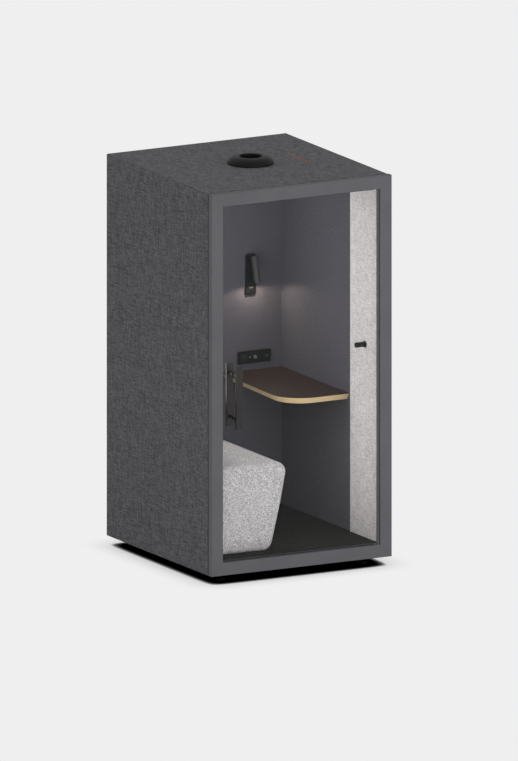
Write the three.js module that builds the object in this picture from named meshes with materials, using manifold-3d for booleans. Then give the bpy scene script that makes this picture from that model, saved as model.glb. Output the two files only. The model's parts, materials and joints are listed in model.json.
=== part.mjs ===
// Acoustic office pod for one person: a felt-clad cabin with a glass door, a bench and a small desk.
// Millimetres, +Z up, the door faces -Y. The origin is on the floor, under the middle of the whole pod.
import * as THREE from 'three';
import { mergeVertices } from 'three/addons/utils/BufferGeometryUtils.js';
import Module from 'manifold-3d';

const wasm = await Module();
wasm.setup();

// Driving dimensions: cabin
const bodyWidth = 1100;
const bodyDepth = 1200;
const bodyHeight = 2100;
const floorClearance = 50;
const skinThickness = 12;
const coreThickness = 42;
const liningThickness = 9;
const skinEdgeRadius = 11;
const deckThickness = 70;
const carpetThickness = 8;
const coatPanelThickness = 6;
const coatPanelDeskGap = 20;
const fitGap = 0.3;
const mitreGap = 0.45;

// Driving dimensions: levelling feet
const footInset = 120;
const footPadRadius = 25;
const footPadHeight = 12;
const footPadShoulder = 7;
const footPadEdge = 1;
const footCollarWidth = 3;
const footCollarHeight = 2;
const footStudRadius = 6;
const footNutRadius = 11;
const footNutHeight = 7;

// Driving dimensions: front frame and gasket
const frameFace = 70;
const frameEdgeRadius = 3;
const shadowGap = 9;
const stopHeight = 6;
const stopDepth = 8;
const gasketThickness = 3.9;
const gasketHingeRelief = 24;

// Driving dimensions: door leaf and its pivots
const glassThickness = 10;
const glassSetback = 12.5;
const leafGap = 3;
const postLip = 0.5;
const postGap = 0.5;
const postFlatDepth = 0.5;
const pivotPinRadius = 2.5;
const pivotPinLength = 12;
const pivotPinTip = 1;
const pivotFlangeHeight = 1.5;
const runningGap = 0.5;

// Driving dimensions: door handle
const handleWidth = 40;
const handleThickness = 12;
const handleLength = 350;
const handleEdgeRadius = 2;
const handleStandoff = 44.5;
const handleEdgeDistance = 77;
const handleCentreHeight = 1026;
const handleBoltInset = 55;
const handleBoltRadius = 4;
const sleeveRadius = 10;

// Driving dimensions: roof vent, fan and slot
const ventX = 18;
const ventY = 14;
const cowlRadius = 125;
const cowlHeight = 41;
const cowlRimFlat = 1;
const cowlLip = 6;
const cowlBaseEdge = 3;
const throatRadius = 60;
const ductRadius = 61;
const ductWall = 2.5;
const fanHeight = 30;
const fanFrameWall = 4;
const fanRise = 11;
const fanCupRadius = 19;
const fanCupHeight = 10;
const fanStrutWidth = 6;
const fanStrutCount = 3;
const fanHubRadius = 17;
const fanHubEdge = 3;
const fanTipGap = 2;
const bladeCount = 7;
const bladeChord = 24;
const bladeThickness = 2.4;
const bladeRootPitch = 48;
const bladeTipPitch = 26;
const bladeRootChordShare = 0.7;
const bladeTipThinning = 0.4;
const bladeSweep = 14;
const bladeRootSink = 2;
const bladeHeadroom = 2;
const grilleRadius = 76;
const grilleThickness = 4;
const grilleEdge = 2;
const grilleSlotWidth = 6;
const grilleBarWidth = 6;
const slotX = 316;
const slotY = 10;
const slotLength = 244;
const slotWidth = 10;
const slotLinerWall = 3;

// Driving dimensions: bench
const benchWidth = 482;
const benchHeight = 480;
const benchFrontSetback = 125;
const benchLean = 104;
const benchTopRadius = 48;
const benchFootRadius = 58;
const benchFrontRadius = 38;
const benchFootShare = 0.1;
const benchCrown = 8;
const benchSwell = 4;

// Driving dimensions: desk
const deskHeight = 756;
const deskThickness = 36;
const laminateThickness = 2;
const deskWidth = 383;
const deskTaper = 21;
const deskFrontSetback = 366;
const deskCornerRadius = 176;
const deskUndercut = 24;
const cleatHeight = 30;
const cleatDepth = 28;
const cleatFrontSetback = 190;
const cleatEndSetback = 70;

// Driving dimensions: wall lamp
const lampFromRight = 192.5;
const lampCentreHeight = 1410.5;
const lampPlateWidth = 60;
const lampPlateHeight = 224;
const lampPlateThickness = 16;
const lampPlateCorner = 10;
const lampPlateEdge = 2;
const lampPivotDrop = 21.5;
const lampPivotReach = 10.8;
const lampEarRadius = 7;
const lampEarThickness = 5;
const lampPinRadius = 2.5;
const lampLugWidth = 10;
const lampLugRadius = 6.5;
const lampHeadRadius = 19;
const lampHeadLength = 146;
const lampHeadAbovePivot = 12;
const lampHeadEdge = 3;
const lampHeadTilt = 14.4;
const lampRimWall = 3;
const lampRecessDepth = 70;
const lampLensThickness = 3;
const lampLensSetback = 2;
const switchWidth = 24;
const switchHeight = 6;
const switchProud = 2;
const switchDepth = 6;
const switchTravel = 1.5;
const switchRise = 41;
const switchSideGap = 0.4;
const switchCorner = 2;
const switchEdge = 0.6;

// Driving dimensions: power module
const powerFromRight = 170;
const powerAboveDesk = 37.5;
const powerWidth = 200;
const powerHeight = 69;
const powerThickness = 12;
const powerCorner = 7;
const powerEdge = 2;
const powerBackWall = 3;
const insertBackWall = 1.7;
const socketEndDistance = 32;
const socketRadius = 21;
const socketSlotWidth = 2.2;
const socketSlotLength = 8;
const socketSlotSpread = 6.5;
const socketSlotTurns = [60, 180, 300];
const usbEndDistance = 27;
const usbMouthWidth = 12.5;
const usbMouthHeight = 5;
const usbShellWall = 1.5;
const knobRadius = 10;
const knobLength = 12;
const knobEdge = 1.5;
const knobTaper = 0.6;
const knobShaftRadius = 3;
const knobNotch = 1.2;
const indicatorRadius = 2;
const indicatorProud = 0.6;

// Driving dimensions: coat peg
const pegFrontSetback = 177;
const pegHeight = 1191;
const pegLength = 58;
const pegRadius = 14;
const pegEdge = 2;
const pegFlangeRadius = 18;
const pegFlangeThickness = 4;
const pegFlangeEdge = 1;

// Levels and planes worked out from the driving dimensions
const halfWidth = bodyWidth / 2;
const frontY = -bodyDepth / 2;
const rearY = bodyDepth / 2;
const bottomZ = floorClearance;
const roofZ = floorClearance + bodyHeight;
const leafFrontY = frontY + glassSetback;
const leafRearY = leafFrontY + glassThickness;
const stopFaceY = leafRearY + fitGap + gasketThickness + fitGap;
const frameRearY = stopFaceY + stopDepth;
const insideFrontY = frameRearY + fitGap;
const skinFrontY = frameRearY + shadowGap;
const coreX = halfWidth - skinThickness;
const coreRearY = rearY - skinThickness;
const coreTopZ = roofZ - skinThickness;
const boardX = coreX - coreThickness;
const boardRearY = coreRearY - coreThickness;
const boardTopZ = coreTopZ - coreThickness;
const innerX = boardX - liningThickness;
const innerRearY = boardRearY - liningThickness;
const ceilingZ = boardTopZ - liningThickness;
const deckTopZ = bottomZ + deckThickness;
const carpetZ = deckTopZ + carpetThickness;
const openingX = halfWidth - frameFace;
const openingTopZ = roofZ - frameFace;
const openingBottomZ = bottomZ + frameFace;
const coatPanelX = innerX - coatPanelThickness;
const deskTopZ = carpetZ + deskHeight;
const deskFrontY = frontY + deskFrontSetback;
const handleReach = handleStandoff + handleThickness - glassSetback;

// Round shapes: sides of a full circle, and steps in an arc
const roundSides = 40;
const smallRoundSides = 20;
const filletSteps = 4;
const wideArcSteps = 12;
const edgeSteps = 2;
const bladeSteps = 4;
const benchRoundSteps = 6;
const benchFlatSteps = 6;
const benchFaceRings = 4;

// How far a cutting solid reaches past the face it opens
const cutOver = 1;
const weldTolerance = 1e-4;
const degrees = Math.PI / 180;

// Solids

function weld(geometry) {
  const bare = new THREE.BufferGeometry();
  bare.setAttribute('position', geometry.getAttribute('position').clone());
  if (geometry.index) {
    bare.setIndex(geometry.index.clone());
  }
  const merged = mergeVertices(bare, weldTolerance);
  const corners = merged.index.array;
  const kept = [];
  for (let i = 0; i < corners.length; i += 3) {
    const [a, b, c] = corners.slice(i, i + 3);
    if (a !== b && b !== c && c !== a) {
      kept.push(a, b, c);
    }
  }
  merged.setIndex(kept);
  return merged;
}

function signedVolume(geometry) {
  const place = geometry.getAttribute('position');
  const corners = geometry.index.array;
  const [a, b, c] = [new THREE.Vector3(), new THREE.Vector3(), new THREE.Vector3()];
  let total = 0;
  for (let i = 0; i < corners.length; i += 3) {
    a.fromBufferAttribute(place, corners[i]);
    b.fromBufferAttribute(place, corners[i + 1]);
    c.fromBufferAttribute(place, corners[i + 2]);
    total += a.dot(b.cross(c)) / 6;
  }
  return total;
}

function closed(geometry) {
  const welded = weld(geometry);
  if (signedVolume(welded) < 0) {
    welded.setIndex(Array.from(welded.index.array).reverse());
  }
  return welded;
}

function toSolid(geometry) {
  const welded = closed(geometry);
  return new wasm.Manifold(new wasm.Mesh({
    numProp: 3,
    vertProperties: Float32Array.from(welded.getAttribute('position').array),
    triVerts: Uint32Array.from(welded.index.array),
  }));
}

function toGeometry(solid) {
  const { vertProperties, triVerts } = solid.getMesh();
  const geometry = new THREE.BufferGeometry();
  geometry.setAttribute('position', new THREE.BufferAttribute(Float32Array.from(vertProperties), 3));
  geometry.setIndex(Array.from(triVerts));
  return geometry;
}

function cut(body, ...tools) {
  return toGeometry(tools.reduce((rest, tool) => rest.subtract(toSolid(tool)), toSolid(body)));
}

function join(body, ...others) {
  return toGeometry(others.reduce((rest, other) => rest.add(toSolid(other)), toSolid(body)));
}

function common(body, ...others) {
  return toGeometry(others.reduce((rest, other) => rest.intersect(toSolid(other)), toSolid(body)));
}

// Basic forms

function block([x0, y0, z0], [x1, y1, z1]) {
  const box = new THREE.BoxGeometry(x1 - x0, y1 - y0, z1 - z0);
  return box.translate((x0 + x1) / 2, (y0 + y1) / 2, (z0 + z1) / 2);
}

function polygon(points) {
  return new THREE.Shape(points.map(([a, b]) => new THREE.Vector2(a, b)));
}

function roundedRectangle(width, height, radius) {
  const [a, b] = [width / 2, height / 2];
  const shape = new THREE.Shape();
  shape.absarc(a - radius, b - radius, radius, 0, Math.PI / 2);
  shape.absarc(radius - a, b - radius, radius, Math.PI / 2, Math.PI);
  shape.absarc(radius - a, radius - b, radius, Math.PI, 1.5 * Math.PI);
  shape.absarc(a - radius, radius - b, radius, 1.5 * Math.PI, 2 * Math.PI);
  return shape;
}

function extruded(shape, length, edge = 0) {
  return new THREE.ExtrudeGeometry(shape, {
    depth: length - 2 * edge,
    curveSegments: filletSteps,
    bevelEnabled: edge > 0,
    bevelThickness: edge,
    bevelSize: edge,
    bevelOffset: -edge,
    bevelSegments: edgeSteps,
  }).translate(0, 0, edge);
}

// A shape drawn in (x, z) and extruded from the front y0 to the rear y1
function extrudedBack(shape, y0, y1, edge = 0) {
  return extruded(shape, y1 - y0, edge).rotateX(Math.PI / 2).translate(0, y1, 0);
}

// A shape drawn in (y, z) and extruded from x0 to x1
function extrudedAcross(shape, x0, x1, edge = 0) {
  const turn = new THREE.Matrix4().makeBasis(
    new THREE.Vector3(0, 1, 0),
    new THREE.Vector3(0, 0, 1),
    new THREE.Vector3(1, 0, 0),
  );
  return extruded(shape, x1 - x0, edge).applyMatrix4(turn).translate(x0, 0, 0);
}

function extrudedUp(shape, z0, z1, edge = 0) {
  return extruded(shape, z1 - z0, edge).translate(0, 0, z0);
}

// A profile of (radius, height) points turned about +Z
function turned(points, sides = roundSides) {
  const profile = points.map(([radius, height]) => new THREE.Vector2(radius, height));
  return new THREE.LatheGeometry(profile, sides).rotateX(Math.PI / 2);
}

function cylinder(radius, z0, z1, sides = smallRoundSides) {
  return turned([[0, z0], [radius, z0], [radius, z1], [0, z1]], sides);
}

function cylinderBack(radius, x, y0, y1, z, sides = smallRoundSides) {
  return cylinder(radius, 0, y1 - y0, sides).rotateX(Math.PI / 2).translate(x, y1, z);
}

function cylinderAcross(radius, x0, x1, y, z, sides = smallRoundSides) {
  return cylinder(radius, 0, x1 - x0, sides).rotateY(Math.PI / 2).translate(x0, y, z);
}

function arc(centreA, centreB, radius, from, to, steps = filletSteps) {
  const points = [];
  for (let i = 0; i <= steps; i += 1) {
    const angle = (from + ((to - from) * i) / steps) * degrees;
    points.push([centreA + radius * Math.cos(angle), centreB + radius * Math.sin(angle)]);
  }
  return points;
}

// A closed solid through rings of [x, y, z] points. The rings have their corners in the same order,
// so the triangles that close the first ring close the last one too.
function loft(rings) {
  const count = rings[0].length;
  const corners = [];
  for (let ring = 0; ring + 1 < rings.length; ring += 1) {
    for (let i = 0; i < count; i += 1) {
      const next = (i + 1) % count;
      const [a, b] = [ring * count + i, ring * count + next];
      corners.push(a, b, b + count, a, b + count, a + count);
    }
  }
  const last = (rings.length - 1) * count;
  for (const [a, b, c] of capTriangles(rings[0])) {
    corners.push(c, b, a, last + a, last + b, last + c);
  }
  const geometry = new THREE.BufferGeometry();
  geometry.setAttribute('position', new THREE.Float32BufferAttribute(rings.flat(2), 3));
  geometry.setIndex(corners);
  return geometry;
}

// Triangles over a flat ring, wound as the ring is
function capTriangles(ring) {
  const normal = new THREE.Vector3();
  ring.forEach(([x, y, z], i) => {
    const [nx, ny, nz] = ring[(i + 1) % ring.length];
    normal.x += (y - ny) * (z + nz);
    normal.y += (z - nz) * (x + nx);
    normal.z += (x - nx) * (y + ny);
  });
  const size = [Math.abs(normal.x), Math.abs(normal.y), Math.abs(normal.z)];
  const dropped = size.indexOf(Math.max(...size));
  const kept = [0, 1, 2].filter((axis) => axis !== dropped);
  const flat = ring.map((point) => new THREE.Vector2(point[kept[0]], point[kept[1]]));
  const forward = THREE.ShapeUtils.area(flat) > 0;
  const triangles = THREE.ShapeUtils.triangulateShape(flat, []);
  return forward ? triangles : triangles.map(([a, b, c]) => [c, b, a]);
}

// Materials, in the colours of the object

function finish(color, roughness, metalness = 0) {
  return new THREE.MeshStandardMaterial({ color, roughness, metalness });
}

const darkFelt = finish(0x505052, 0.95);
const innerFelt = finish(0x4a484f, 0.95);
const paleFelt = finish(0xb9b6b4, 0.95);
const coreBoard = finish(0x232325, 0.9);
const carpetPile = finish(0x2b2a27, 1);
const framePaint = finish(0x646467, 0.45, 0.2);
const blackPaint = finish(0x1d1d1e, 0.4, 0.2);
const blackPlastic = finish(0x19191a, 0.5);
const blackRubber = finish(0x141414, 0.8);
const bronze = finish(0x3b3835, 0.4, 0.6);
const steel = finish(0x9a9b9d, 0.3, 1);
const plywood = finish(0xc8ad80, 0.6);
const laminate = finish(0x3d332d, 0.5);
const lampLensGlow = finish(0xfff0d8, 0.3);
const indicatorGreen = finish(0x7fae7a, 0.3);
const clearGlass = finish(0xdfe6e6, 0.05);
clearGlass.transparent = true;
clearGlass.opacity = 0.25;

function piece(name, geometry, material) {
  const mesh = new THREE.Mesh(closed(geometry), material);
  mesh.name = name;
  return mesh;
}

function group(...members) {
  const holder = new THREE.Group();
  holder.add(...members);
  return holder;
}

// Outer felt skins: the rounded outside of the cabin, mitred into four panels

function roundedOutside() {
  const radius = skinEdgeRadius;
  const [low, high] = [bottomZ - radius, roofZ];
  const acrossFront = polygon([
    [-halfWidth, low],
    [halfWidth, low],
    ...arc(halfWidth - radius, high - radius, radius, 0, 90),
    ...arc(radius - halfWidth, high - radius, radius, 90, 180),
  ]);
  const alongSide = polygon([
    [frontY, low],
    [rearY, low],
    ...arc(rearY - radius, high - radius, radius, 0, 90),
    [frontY, high],
  ]);
  const plan = polygon([
    [-halfWidth, frontY],
    [halfWidth, frontY],
    ...arc(halfWidth - radius, rearY - radius, radius, 0, 90),
    ...arc(radius - halfWidth, rearY - radius, radius, 90, 180),
  ]);
  return common(
    extrudedBack(acrossFront, frontY, rearY),
    extrudedAcross(alongSide, -halfWidth, halfWidth),
    extrudedUp(plan, low, high),
  );
}

const outside = roundedOutside();

function sidePanel(side) {
  const ring = (x, inset) => [
    [x, skinFrontY, bottomZ],
    [x, rearY - inset - mitreGap, bottomZ],
    [x, rearY - inset - mitreGap, roofZ - inset - mitreGap],
    [x, skinFrontY, roofZ - inset - mitreGap],
  ];
  const slab = loft([ring(side * halfWidth, 0), ring(side * coreX, skinThickness)]);
  return common(outside, slab);
}

function rearPanel() {
  const ring = (y, inset) => [
    [-halfWidth + inset, y, bottomZ],
    [halfWidth - inset, y, bottomZ],
    [halfWidth - inset, y, roofZ - inset - mitreGap],
    [-halfWidth + inset, y, roofZ - inset - mitreGap],
  ];
  const slab = loft([ring(rearY, 0), ring(coreRearY, skinThickness)]);
  return common(outside, slab);
}

function ductHole(z0, z1) {
  return cylinder(ductRadius + fitGap, z0, z1, roundSides).translate(ventX, ventY, 0);
}

function slotHole(z0, z1) {
  const across = slotWidth / 2 + slotLinerWall + fitGap;
  const along = slotLength / 2 + slotLinerWall + fitGap;
  return block([slotX - across, slotY - along, z0], [slotX + across, slotY + along, z1]);
}

function pierced(slab, z0, z1) {
  const [low, high] = [z0 - cutOver, z1 + cutOver];
  return cut(slab, ductHole(low, high), slotHole(low, high));
}

function roofPanel() {
  const ring = (z, inset) => [
    [-halfWidth + inset, skinFrontY, z],
    [halfWidth - inset, skinFrontY, z],
    [halfWidth - inset, rearY - inset, z],
    [-halfWidth + inset, rearY - inset, z],
  ];
  const slab = loft([ring(roofZ, 0), ring(coreTopZ, skinThickness)]);
  return pierced(common(outside, slab), coreTopZ, roofZ);
}

function skins() {
  return group(
    piece('left_outer_panel', sidePanel(-1), darkFelt),
    piece('right_outer_panel', sidePanel(1), darkFelt),
    piece('rear_outer_panel', rearPanel(), darkFelt),
    piece('roof_outer_panel', roofPanel(), darkFelt),
  );
}

// Acoustic cores behind the skins, and the felt linings inside them

function wallCore(side) {
  const [outer, inner] = [side * (coreX - fitGap), side * boardX];
  return block(
    [Math.min(outer, inner), insideFrontY, bottomZ],
    [Math.max(outer, inner), coreRearY - fitGap, boardTopZ - fitGap],
  );
}

function cores() {
  const rear = block(
    [-boardX + fitGap, boardRearY, bottomZ],
    [boardX - fitGap, coreRearY - fitGap, boardTopZ - fitGap],
  );
  const roof = block(
    [-coreX + fitGap, insideFrontY, boardTopZ],
    [coreX - fitGap, coreRearY - fitGap, coreTopZ - fitGap],
  );
  return group(
    piece('left_wall_core', wallCore(-1), coreBoard),
    piece('right_wall_core', wallCore(1), coreBoard),
    piece('rear_wall_core', rear, coreBoard),
    piece('roof_core', pierced(roof, boardTopZ, coreTopZ), coreBoard),
  );
}

function sideLining(side) {
  const [outer, inner] = [side * (boardX - fitGap), side * innerX];
  return block(
    [Math.min(outer, inner), insideFrontY, deckTopZ + fitGap],
    [Math.max(outer, inner), boardRearY - fitGap, ceilingZ - fitGap],
  );
}

function linings() {
  const rear = block(
    [-innerX + fitGap, innerRearY, deckTopZ + fitGap],
    [innerX - fitGap, boardRearY - fitGap, ceilingZ - fitGap],
  );
  const ceiling = block(
    [-boardX + fitGap, insideFrontY, ceilingZ],
    [boardX - fitGap, boardRearY - fitGap, boardTopZ - fitGap],
  );
  const coatPanel = block(
    [coatPanelX, insideFrontY, carpetZ + fitGap],
    [innerX - fitGap, deskFrontY - coatPanelDeskGap, ceilingZ - fitGap],
  );
  return group(
    piece('left_lining', sideLining(-1), innerFelt),
    piece('right_lining', sideLining(1), innerFelt),
    piece('rear_lining', rear, innerFelt),
    piece('ceiling_panel', pierced(ceiling, ceilingZ, boardTopZ), innerFelt),
    piece('coat_panel', coatPanel, paleFelt),
  );
}

// Floor deck, carpet and levelling feet

function foot(x, y) {
  const top = bottomZ - fitGap;
  return turned([
    [0, 0],
    [footPadRadius - footPadEdge, 0],
    [footPadRadius, footPadEdge],
    [footPadRadius, footPadShoulder],
    [footStudRadius + footCollarWidth, footPadHeight],
    [footStudRadius, footPadHeight + footCollarHeight],
    [footStudRadius, top - footNutHeight],
    [footNutRadius, top - footNutHeight],
    [footNutRadius, top],
    [0, top],
  ], smallRoundSides).translate(x, y, 0);
}

function floor() {
  const deck = block(
    [-boardX + fitGap, insideFrontY, bottomZ],
    [boardX - fitGap, boardRearY - fitGap, deckTopZ],
  );
  const carpet = block(
    [-innerX + fitGap, insideFrontY, deckTopZ + fitGap],
    [innerX - fitGap, innerRearY - fitGap, carpetZ],
  );
  const holder = group(
    piece('floor_deck', deck, coreBoard),
    piece('carpet', carpet, carpetPile),
  );
  for (const [end, y] of [['front', frontY + footInset], ['rear', rearY - footInset]]) {
    for (const [side, x] of [['left', footInset - halfWidth], ['right', halfWidth - footInset]]) {
      holder.add(piece(`foot_${end}_${side}`, foot(x, y), blackPlastic));
    }
  }
  return holder;
}

// Front frame: four mitred members of one section, with a stop lip behind the leaf

function frameSection() {
  const radius = frameEdgeRadius;
  return [
    ...arc(radius, frontY + radius, radius, 180, 270),
    ...arc(frameFace - radius, frontY + radius, radius, 270, 360),
    [frameFace, stopFaceY],
    [frameFace + stopHeight, stopFaceY],
    [frameFace + stopHeight, frameRearY],
    [0, frameRearY],
  ];
}

function stile(side) {
  const ring = (end) => frameSection().map(([inward, y]) => [
    side * (halfWidth - inward),
    y,
    end > 0 ? roofZ - inward - mitreGap : bottomZ + inward + mitreGap,
  ]);
  return loft([ring(-1), ring(1)]);
}

function rail(level, direction) {
  const ring = (side) => frameSection().map(([inward, y]) => [
    side * (halfWidth - inward),
    y,
    level + direction * inward,
  ]);
  return loft([ring(-1), ring(1)]);
}

const postRadius = glassThickness / 2 + postLip;
const postFlat = postRadius - postFlatDepth;
const pivotX = openingX - postGap - postRadius;
const pivotY = leafFrontY + glassThickness / 2;

function gasket() {
  const [left, right] = [-openingX + fitGap, pivotX - gasketHingeRelief];
  const [low, high] = [openingBottomZ + fitGap, openingTopZ - fitGap];
  const inset = stopHeight - fitGap;
  const outline = polygon([
    [right, low],
    [right, low + inset],
    [left + inset, low + inset],
    [left + inset, high - inset],
    [right, high - inset],
    [right, high],
    [left, high],
    [left, low],
  ]);
  return extrudedBack(outline, leafRearY + fitGap, stopFaceY - fitGap);
}

function frontFrame() {
  return group(
    piece('frame_left_stile', stile(-1), framePaint),
    piece('frame_right_stile', stile(1), framePaint),
    piece('frame_head', rail(roofZ, -1), framePaint),
    piece('frame_sill', rail(bottomZ, 1), framePaint),
    piece('door_gasket', gasket(), blackRubber),
  );
}

// Door: a frameless glass leaf on a slim post that turns between two pivots

const postLowZ = openingBottomZ + fitGap + pivotFlangeHeight + runningGap;
const postHighZ = openingTopZ - fitGap - pivotFlangeHeight - runningGap;
const handleX = handleEdgeDistance - openingX;
const boltSpread = handleLength / 2 - handleBoltInset;
const boltHeights = { top: handleCentreHeight + boltSpread, bottom: handleCentreHeight - boltSpread };

function hingePost() {
  const half = Math.acos(postFlat / postRadius) / degrees;
  const section = polygon(arc(pivotX, pivotY, postRadius, half - 180, 180 - half, roundSides));
  const bore = (z0, z1) => cylinder(pivotPinRadius + fitGap, z0, z1).translate(pivotX, pivotY, 0);
  const depth = pivotPinLength + runningGap;
  return cut(
    extrudedUp(section, postLowZ, postHighZ),
    bore(postLowZ - cutOver, postLowZ + depth),
    bore(postHighZ - depth, postHighZ + cutOver),
  );
}

function pivot(seatZ, direction) {
  const flange = direction * pivotFlangeHeight;
  const tip = flange + direction * (runningGap + pivotPinLength);
  return turned([
    [0, 0],
    [postRadius, 0],
    [postRadius, flange],
    [pivotPinRadius, flange],
    [pivotPinRadius, tip - direction * pivotPinTip],
    [pivotPinRadius - pivotPinTip, tip],
    [0, tip],
  ], smallRoundSides).translate(pivotX, pivotY, seatZ + direction * fitGap);
}

function glassLeaf() {
  const edge = leafGap;
  const leaf = block(
    [-openingX + edge, leafFrontY, openingBottomZ + edge],
    [pivotX - postFlat - fitGap, leafRearY, openingTopZ - edge],
  );
  const holes = Object.values(boltHeights).map((z) => (
    cylinderBack(handleBoltRadius + fitGap, handleX, leafFrontY - cutOver, leafRearY + cutOver, z)
  ));
  return cut(leaf, ...holes);
}

function handleBar(y0) {
  const shape = roundedRectangle(handleWidth, handleLength, handleEdgeRadius);
  return extrudedBack(shape, y0, y0 + handleThickness, handleEdgeRadius / 2)
    .translate(handleX, 0, handleCentreHeight);
}

function sleeve(y0, y1, z) {
  return turned([
    [handleBoltRadius + fitGap, 0],
    [sleeveRadius, 0],
    [sleeveRadius, y1 - y0],
    [handleBoltRadius + fitGap, y1 - y0],
    [handleBoltRadius + fitGap, 0],
  ], smallRoundSides).rotateX(Math.PI / 2).translate(handleX, y1, z);
}

function door() {
  const outerY = leafFrontY - handleStandoff;
  const innerY = leafRearY + handleStandoff;
  const holder = group(
    piece('door_glass', glassLeaf(), clearGlass),
    piece('hinge_post', hingePost(), blackPaint),
    piece('pivot_top', pivot(openingTopZ, -1), steel),
    piece('pivot_bottom', pivot(openingBottomZ, 1), steel),
    piece('handle_bar_outer', handleBar(outerY - handleThickness), bronze),
    piece('handle_bar_inner', handleBar(innerY), bronze),
  );
  for (const [end, z] of Object.entries(boltHeights)) {
    const bolt = cylinderBack(handleBoltRadius, handleX, outerY + fitGap, innerY - fitGap, z);
    holder.add(
      piece(`handle_standoff_outer_${end}`, sleeve(outerY + fitGap, leafFrontY - fitGap, z), bronze),
      piece(`handle_standoff_inner_${end}`, sleeve(leafRearY + fitGap, innerY - fitGap, z), bronze),
      piece(`handle_bolt_${end}`, bolt, steel),
    );
  }
  return holder;
}

// Ventilation: cowl, duct, axial fan, ceiling grille and the lined slot beside them

function cowl() {
  const cowlRimRadius = throatRadius + cowlLip + cowlRimFlat;
  const crown = arc(0, 0, 1, 0, 90, wideArcSteps).map(([out, up]) => [
    cowlRimRadius + (cowlRadius - cowlRimRadius) * out,
    cowlBaseEdge + (cowlHeight - cowlBaseEdge) * up,
  ]);
  return turned([
    [throatRadius, 0],
    [cowlRadius, 0],
    ...crown,
    ...arc(throatRadius + cowlLip, cowlHeight - cowlLip, cowlLip, 90, 180),
    [throatRadius, 0],
  ]).translate(ventX, ventY, roofZ + fitGap);
}

function tube(outer, inner, z0, z1, sides = roundSides) {
  return turned([[inner, z0], [outer, z0], [outer, z1], [inner, z1], [inner, z0]], sides)
    .translate(ventX, ventY, 0);
}

const ductBore = ductRadius - ductWall;
const fanRadius = ductBore - fitGap;
const fanLowZ = ceilingZ + fanRise;
const fanTopZ = fanLowZ + fanHeight;
const fanCupTopZ = fanLowZ + fanCupHeight;

function fanFrame() {
  const ring = tube(fanRadius, fanRadius - fanFrameWall, fanLowZ, fanTopZ);
  const cup = cylinder(fanCupRadius, fanLowZ, fanCupTopZ, roundSides).translate(ventX, ventY, 0);
  const struts = [];
  for (let i = 0; i < fanStrutCount; i += 1) {
    const strut = block(
      [fanCupRadius - fanStrutWidth / 2, -fanStrutWidth / 2, fanLowZ],
      [fanRadius - fanFrameWall / 2, fanStrutWidth / 2, fanLowZ + fanStrutWidth],
    );
    struts.push(strut.rotateZ((i * 2 * Math.PI) / fanStrutCount).translate(ventX, ventY, 0));
  }
  return join(ring, cup, ...struts);
}

// The blades are flattened to stay within the height of the hub
const bladeHeightShare = (fanHeight - fanCupHeight - bladeHeadroom) / bladeChord;

function fanBlade(turn) {
  const tipRadius = fanRadius - fanFrameWall - fanTipGap;
  const rootRadius = fanHubRadius - bladeRootSink;
  const middleZ = (fanCupTopZ + fanTopZ) / 2;
  const rings = [];
  for (let i = 0; i <= bladeSteps; i += 1) {
    const share = i / bladeSteps;
    const radius = rootRadius + (tipRadius - rootRadius) * share;
    const pitch = (bladeRootPitch + (bladeTipPitch - bladeRootPitch) * share) * degrees;
    const halfChord = (bladeChord / 2) * (bladeRootChordShare + (1 - bladeRootChordShare) * share);
    const halfThick = (bladeThickness / 2) * (1 - bladeTipThinning * share);
    const sweep = turn + share * bladeSweep * degrees;
    const section = [[-halfChord, 0], [0, halfThick], [halfChord, 0], [0, -halfThick]];
    rings.push(section.map(([along, off]) => {
      const tangent = along * Math.cos(pitch) - off * Math.sin(pitch);
      const height = along * Math.sin(pitch) + off * Math.cos(pitch);
      return [
        ventX + radius * Math.cos(sweep) - tangent * Math.sin(sweep),
        ventY + radius * Math.sin(sweep) + tangent * Math.cos(sweep),
        middleZ + height * bladeHeightShare,
      ];
    }));
  }
  return loft(rings);
}

function fanRotor() {
  const [low, high] = [fanCupTopZ + runningGap, fanTopZ];
  const hub = turned([
    [0, low],
    [fanHubRadius, low],
    [fanHubRadius, high - fanHubEdge],
    [fanHubRadius - fanHubEdge, high],
    [0, high],
  ]).translate(ventX, ventY, 0);
  const blades = [];
  for (let i = 0; i < bladeCount; i += 1) {
    blades.push(fanBlade((i * 2 * Math.PI) / bladeCount));
  }
  return join(hub, ...blades);
}

function grille() {
  const [low, high] = [ceilingZ - fitGap - grilleThickness, ceilingZ - fitGap];
  const disc = turned([
    [0, low],
    [grilleRadius - grilleEdge, low],
    [grilleRadius, low + grilleEdge],
    [grilleRadius, high],
    [0, high],
  ]).translate(ventX, ventY, 0);
  const pitch = grilleSlotWidth + grilleBarWidth;
  const openRadius = ductBore - grilleBarWidth;
  const reach = Math.floor(openRadius / pitch);
  const slots = [];
  for (let row = -reach; row <= reach; row += 1) {
    const outer = Math.abs(row) * pitch + grilleSlotWidth / 2;
    if (outer < openRadius) {
      const along = Math.sqrt(openRadius ** 2 - outer ** 2);
      const middle = ventY + row * pitch;
      slots.push(block(
        [ventX - along, middle - grilleSlotWidth / 2, low - cutOver],
        [ventX + along, middle + grilleSlotWidth / 2, high + cutOver],
      ));
    }
  }
  return cut(disc, ...slots);
}

function slotLiner() {
  const [across, along] = [slotWidth / 2, slotLength / 2];
  const outer = block(
    [slotX - across - slotLinerWall, slotY - along - slotLinerWall, ceilingZ],
    [slotX + across + slotLinerWall, slotY + along + slotLinerWall, roofZ],
  );
  const inner = block(
    [slotX - across, slotY - along, ceilingZ - cutOver],
    [slotX + across, slotY + along, roofZ + cutOver],
  );
  return cut(outer, inner);
}

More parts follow.
